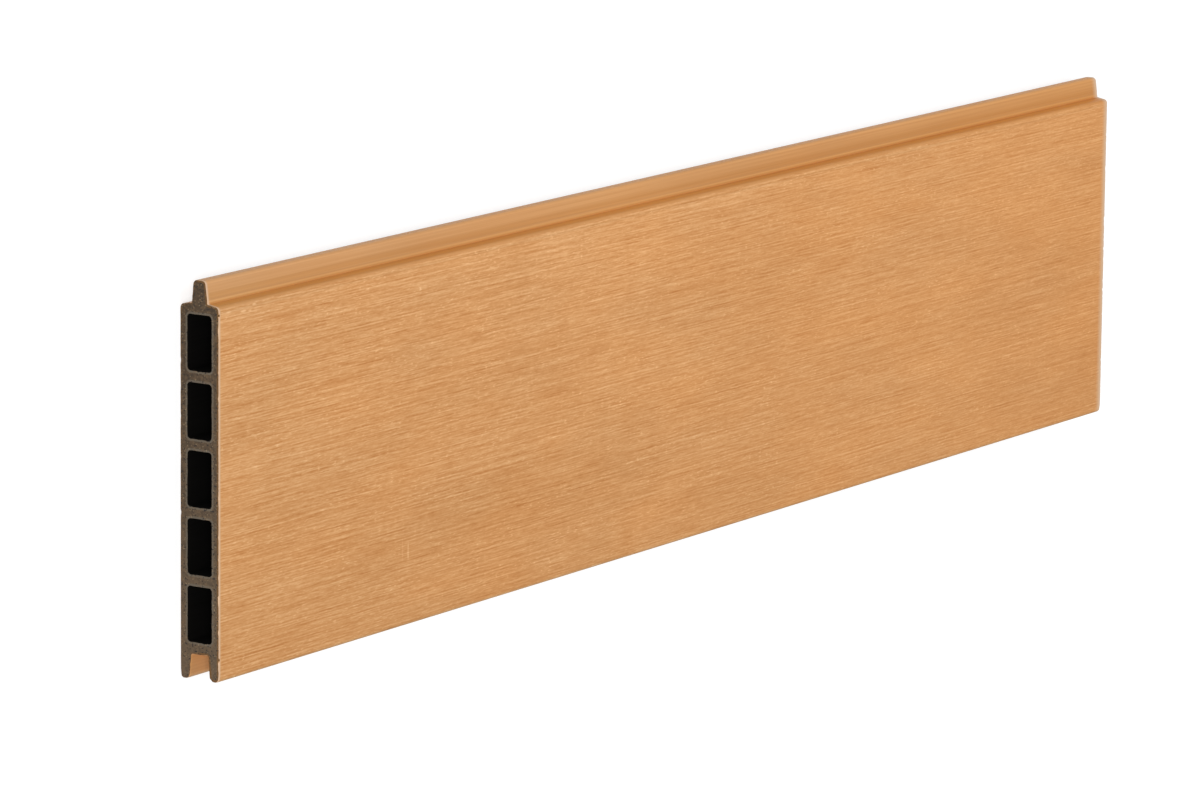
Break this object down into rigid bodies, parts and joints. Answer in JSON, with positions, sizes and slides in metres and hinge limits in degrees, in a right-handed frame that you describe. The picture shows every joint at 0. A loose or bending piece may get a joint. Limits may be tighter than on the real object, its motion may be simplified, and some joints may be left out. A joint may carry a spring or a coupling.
{
  "type": "composite fence board",
  "caption": "Hollow tongue-and-groove wood-plastic fence board with a brushed wood-grain face, sawn square at both ends.",
  "frame": {"origin": "under the middle of the board, on the surface that it lies on", "axes": "+X along the board, +Y across it from the groove to the tongue, +Z through the thickness and out of the grained face"},
  "size_m": [0.75, 0.1708, 0.02],
  "materials": {
    "wood_composite": "brushed matte wood-plastic composite, golden oak cap over a grey-brown core that shows at the sawn ends"
  },
  "bodies": {
    "root": {"fence_board": "wood_composite"}
  },
  "joints": []
}
